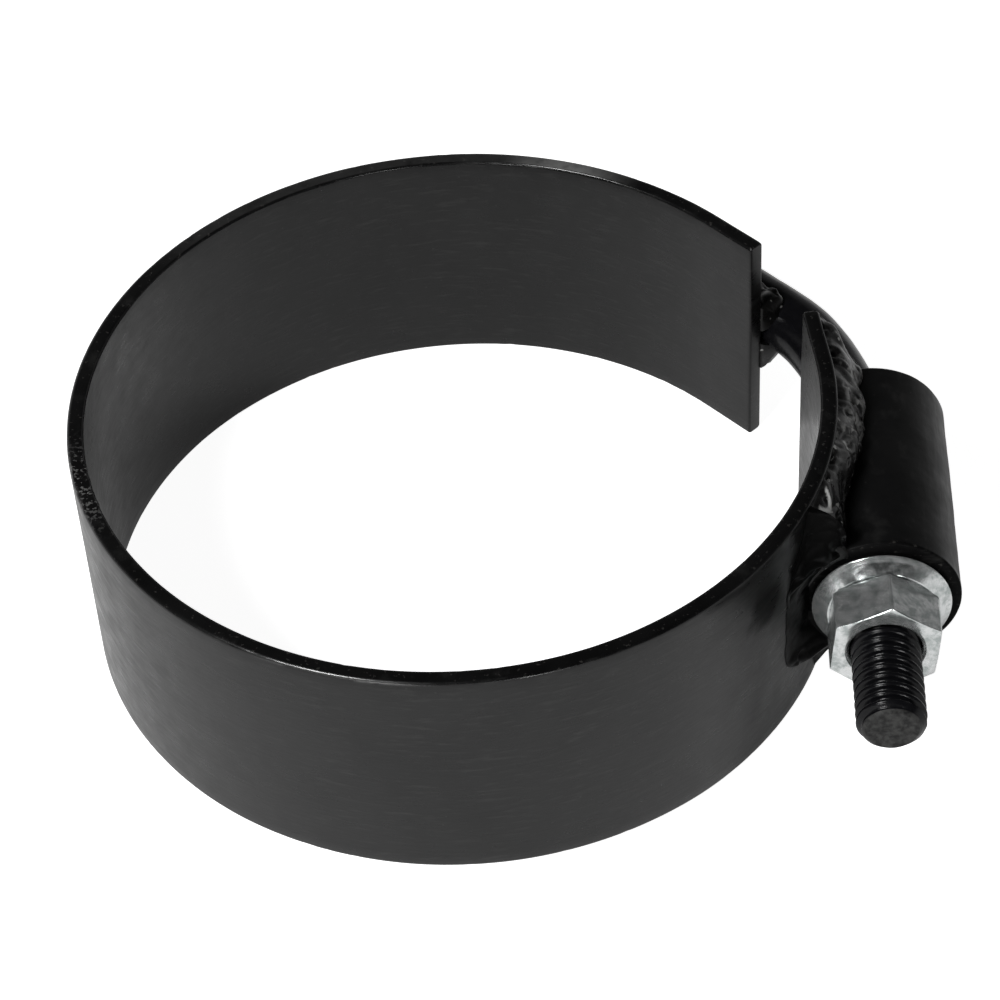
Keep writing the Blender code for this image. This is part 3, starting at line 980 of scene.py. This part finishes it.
def sag_share(y):
    """1 where the free part of the stud bends in closest to the ring, 0 in the barrel and at the weld."""
    return smooth_step((y - SAG_START) / SAG_ONSET) * (1 - smooth_step((y - SAG_END) / SAG_FADE))


def stud_radius(from_tip, angle):
    """The stud's radius: a 60 degree right-hand thread that runs out into a plain shank."""
    threaded = 1 - smooth_step((from_tip - THREAD_LENGTH) / RUN_OUT)
    cut = thread_cut(from_tip / PITCH - angle / (2 * math.pi)) * THREAD_DEPTH * threaded
    radius = STUD_R - cut - (STUD_R - SHANK_R) * (1 - threaded)
    chamfer = STUD_R - TIP_CHAMFER + from_tip * CHAMFER_SLOPE
    return min(radius, chamfer)


def make_stud():
    rings = []
    for point, forward in stud_route():
        across = Vector((forward.y, -forward.x, 0))
        from_tip = point.y - STUD_TIP_Y if forward.y == 1 else THREAD_LENGTH * 2
        ring = []
        for i in range(STUD_SIDES):
            angle = 2 * math.pi * i / STUD_SIDES
            radius = stud_radius(from_tip, angle)
            place = point + across * (radius * math.cos(angle)) + Vector((0, 0, MID_Z + radius * math.sin(angle)))
            dent = rough(place, STUD_DENT_SIZE, 2) * STUD_DENT
            ring.append(place + (place - point - Vector((0, 0, MID_Z))).normalized() * dent)
        rings.append(ring)
    rings = end_rings(rings[0]) + rings + list(reversed(end_rings(rings[-1])))
    stud = skin("stud_rod", rings, sharp=STUD_SHARP)
    store(stud, "cut", lambda place: float(place.y < STUD_TIP_Y + SAWN_DEPTH))
    finish(stud, FINISHES["stud_black"], "stud_end")
    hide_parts("threaded_stud")


def end_rings(ring):
    """Rings that close a round end with a slightly rough face, from its middle outwards."""
    centre = sum(ring, Vector()) / len(ring)
    return [[centre.lerp(point, share) + Vector((0, rough(point * share, CAP_RELIEF_SIZE) * CAP_RELIEF, 0))
             for point in ring] for share in CAP_SHARES]


# ------------ nut and washer

NUT_CHAMFER = math.radians(14.0)
NUT_LEAST_DROP = 0.06 * MM      # of that chamfer, at the middle of a flat
NUT_FACE = 0.985                # share of the half width that its flat faces take
NUT_CORNERS = 0.992             # share of their full reach that the corners keep
NUT_SIDES = 360
NUT_EDGE = 0.22 * MM
NUT_EDGE_CURVE = 3
NUT_SHARP = math.radians(28.0)
NUT_BORE_R = 4.95 * MM
NUT_COUNTERSINK_R = 5.45 * MM
NUT_GROOVE = 0.25 * MM          # the depth of the grooves that stand in for its thread
NUT_BACK_REACH = 0.27 * MM      # carries its back across the CAD's clearance, nearly to the washer
WASHER_SIDES = 144
WASHER_BORE_R = 5.3 * MM
WASHER_FOOT_R = 7.45 * MM       # where its cone starts
WASHER_SLOPE = math.radians(37.0)
WASHER_RIM = 0.6 * MM           # the width of the cone's last step
WASHER_EDGE = 0.15 * MM
DARK_UPPER_CONE = (95.0, 28.0, 14.0)  # (middle, half-width, fade) of its darker, mottled part, in degrees from +X towards +Z
DARK_SHORT = 0.8 * MM          # how far short of the rim the darkening stops


def nut_reach(angle):
    """The nut's radius at an angle: a hexagon with slightly broken corners."""
    from_corner = (angle - NUT_CORNER + math.pi / 6) % (math.pi / 3) - math.pi / 6
    flat = NUT_FLATS / 2 / math.cos(math.pi / 6 - abs(from_corner))
    corner = NUT_FLATS / 2 / math.cos(math.pi / 6)
    return min(flat, corner * NUT_CORNERS)


def make_nut():
    face_r = NUT_FLATS / 2 * NUT_FACE
    countersink = NUT_COUNTERSINK_R - NUT_BORE_R
    front, back = NUT_FRONT_Y, NUT_BACK_Y + NUT_BACK_REACH
    rings = []
    for i in range(NUT_SIDES):
        angle = 2 * math.pi * i / NUT_SIDES
        side_r = nut_reach(angle)
        drop = max(NUT_LEAST_DROP, (side_r - face_r) * math.tan(NUT_CHAMFER))
        grooves = [(NUT_BORE_R + (NUT_GROOVE if k % 2 else 0), front + countersink + (k + 1) * PITCH / 2)
                   for k in range(int((back - front - 2 * countersink) / PITCH * 2) - 1)]
        corners = [
            (NUT_BORE_R, front + countersink),
            (NUT_COUNTERSINK_R, front),
            (face_r, front),
            (side_r, front + drop),
            (side_r, back - drop),
            (face_r, back),
            (NUT_COUNTERSINK_R, back),
            (NUT_BORE_R, back - countersink),
        ]
        outline = softened(corners + list(reversed(grooves)), NUT_EDGE, NUT_EDGE_CURVE)
        rings.append([about_stud(radius, angle, y) for radius, y in outline])
    nut = skin("nut_body", rings, closed=True, sharp=NUT_SHARP)
    finish(nut, FINISHES["zinc_plate"], "nut")
    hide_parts("hex_nut")


def washer_upper_cone_dark(place):
    """1 on the upper part of the washer's cone, short of its rim."""
    x, z = place.x - AXIS_X, place.z - MID_Z
    around = plateau(math.degrees(math.atan2(z, x)), *DARK_UPPER_CONE)
    return around * (1 - smooth_step((math.hypot(x, z) - WASHER_R + DARK_SHORT) / (0.35 * MM)))


def make_washer():
    seat, crown = washer_high.y, washer_low.y
    cone = [(radius, crown + (radius - WASHER_FOOT_R) * math.tan(WASHER_SLOPE))
            for radius in (WASHER_FOOT_R, WASHER_R - WASHER_RIM, WASHER_R)]
    corners = [(WASHER_BORE_R, crown)] + cone + [(WASHER_R, seat), (WASHER_BORE_R, seat)]
    washer = turned_ring("washer_disc", softened(corners, WASHER_EDGE, EDGE_CURVE), WASHER_SIDES)
    store(washer, "upper_cone_dark", washer_upper_cone_dark)
    finish(washer, FINISHES["zinc_plate"], "washer")
    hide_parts("nut_washer")


# ------------ stage

FLOOR_REACH = 6.0
FLOOR_GLOW = 0.31
FLOOR_GLOW_SEEN = 0.95          # the same to the camera, which makes it plain white

# The sky's grey from the horizon (0) to overhead (1), and factors for it in front, to the left and to the right
SKY_HORIZON = 0.42
SKY_STOPS = ((0.28, 0.25), (0.41, 0.20), (0.52, 0.05))
SKY_OVERHEAD = 0.03
SKY_IN_FRONT = 0.12
SKY_LEFT = 1.35
SKY_RIGHT = 0.65
SKY_SEEN = (0.9, 0.9, 0.91, 1)  # all that the camera sees of it


def soft_box(name, azimuth, elevation, distance, size, power):
    """A square area light that faces the clamp. Azimuth 0 is in front, positive to the right."""
    data = bpy.data.lights.new(name, "AREA")
    data.shape = "SQUARE"
    data.size = size
    data.energy = power
    light = add_object(name, data)
    a, e = math.radians(azimuth), math.radians(elevation)
    back = Vector((math.sin(a) * math.cos(e), -math.cos(a) * math.cos(e), math.sin(e)))
    light.location = back * distance
    light.rotation_euler = (-back).to_track_quat("-Z", "Y").to_euler()


def make_floor():
    """A pale floor, plain white to the camera."""
    mesh = bpy.data.meshes.new("floor")
    r = FLOOR_REACH
    mesh.from_pydata([(-r, -r, 0), (r, -r, 0), (r, r, 0), (-r, r, 0)], [], [(0, 1, 2, 3)])
    floor = add_object("floor", mesh)
    graph = Graph("floor")
    graph.set(Base_Color=(0.8, 0.8, 0.8, 1), Roughness=0.8, Emission_Color=(1, 1, 1, 1))
    seen = graph.nodes.new("ShaderNodeLightPath").outputs["Is Camera Ray"]
    graph.link(graph.spread(seen, 0, 1, FLOOR_GLOW, FLOOR_GLOW_SEEN), "Emission Strength")
    mesh.materials.append(graph.material)


def make_world():
    """A pale horizon behind the clamp, brighter to the left, under a dark ceiling. The camera sees plain and pale."""
    world = bpy.data.worlds.new("studio")
    world.use_nodes = True
    tree = world.node_tree
    nodes, links = tree.nodes, tree.links
    direction = nodes.new("ShaderNodeSeparateXYZ")
    links.new(nodes.new("ShaderNodeTexCoord").outputs["Generated"], direction.inputs["Vector"])
    ramp = nodes.new("ShaderNodeValToRGB")
    links.new(direction.outputs["Z"], ramp.inputs["Fac"])
    stops = ramp.color_ramp.elements
    stops[0].color = (SKY_HORIZON, SKY_HORIZON, SKY_HORIZON, 1)
    stops[1].color = (SKY_OVERHEAD, SKY_OVERHEAD, SKY_OVERHEAD, 1)
    for position, grey in SKY_STOPS:
        stops.new(position).color = (grey, grey, grey, 1)
    behind = map_range(tree, direction.outputs["Y"], -0.5, 0.4, SKY_IN_FRONT, 1)
    aside = map_range(tree, direction.outputs["X"], -1, 1, SKY_LEFT, SKY_RIGHT)
    level = nodes.new("ShaderNodeMath")
    level.operation = "MULTIPLY"
    links.new(behind, level.inputs[0])
    links.new(aside, level.inputs[1])
    dimmed = nodes.new("ShaderNodeVectorMath")
    dimmed.operation = "SCALE"
    links.new(ramp.outputs["Color"], dimmed.inputs[0])
    links.new(level.outputs["Value"], dimmed.inputs["Scale"])
    seen = nodes.new("ShaderNodeMix")
    seen.data_type = "RGBA"
    links.new(nodes.new("ShaderNodeLightPath").outputs["Is Camera Ray"], seen.inputs["Factor"])
    unseen, plain = rgba_sockets(seen.inputs)
    links.new(dimmed.outputs["Vector"], unseen)
    plain.default_value = SKY_SEEN
    links.new(rgba_sockets(seen.outputs)[0], nodes["Background"].inputs["Color"])
    bpy.context.scene.world = world


def make_lights():
    soft_box("key", azimuth=-42, elevation=48, distance=1.0, size=0.26, power=8.0)
    soft_box("front_left", azimuth=-18, elevation=12, distance=1.2, size=0.15, power=2.0)
    soft_box("front_right", azimuth=20, elevation=9, distance=1.2, size=0.15, power=1.8)


# ------------ the whole picture

bpy.context.scene.view_settings.view_transform = "Standard"
FINISHES = {
    "black_paint": black_paint("black_paint", ior=1.39, dullness=0.32),
    "barrel_paint": black_paint("barrel_paint", ior=1.28, dullness=0.44),
    "painted_weld": painted_weld(),
    "shade_black_weld": shade_black_weld(),
    "stud_black": stud_black(),
    "zinc_plate": zinc_plate(),
}
make_camera()
make_world()
make_floor()
make_lights()
make_band()
make_barrel()
make_barrel_beads()
make_corner_weld()
make_stud()
make_stud_beads()
make_nut()
make_washer()
